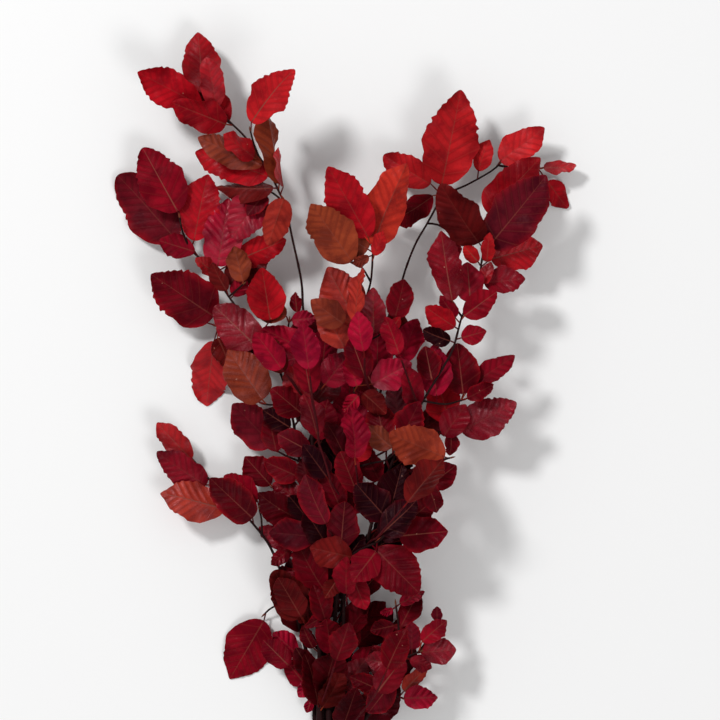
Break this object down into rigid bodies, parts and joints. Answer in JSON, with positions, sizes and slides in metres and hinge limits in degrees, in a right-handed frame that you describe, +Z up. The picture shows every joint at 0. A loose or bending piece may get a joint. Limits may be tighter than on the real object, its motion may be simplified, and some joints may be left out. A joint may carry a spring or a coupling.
{
  "type": "beech leaf bunch",
  "caption": "Bunch of cut beech branches with dyed red leaves, lying flat, dense towards the stems and fanning out into leafy sprays.",
  "frame": {"origin": "on the surface the bunch lies on, at the middle of a leaf pressed flat under the balance point", "axes": "+Y from the cut ends towards the tips, +Z up off the surface, +X to the right as seen from above"},
  "size_m": [0.4629, 0.7703, 0.1409],
  "materials": {
    "dyed_leaf": "dyed red beech leaf with a soft sheen, on dark brown bark"
  },
  "bodies": {
    "root": {"centre_tall_branch": "dyed_leaf", "right_low_branch": "dyed_leaf", "right_mid_branch": "dyed_leaf", "right_tall_branch": "dyed_leaf", "left_tall_branch": "dyed_leaf", "left_mid_branch": "dyed_leaf", "left_low_branch": "dyed_leaf", "bottom_right_branch": "dyed_leaf"}
  },
  "joints": []
}
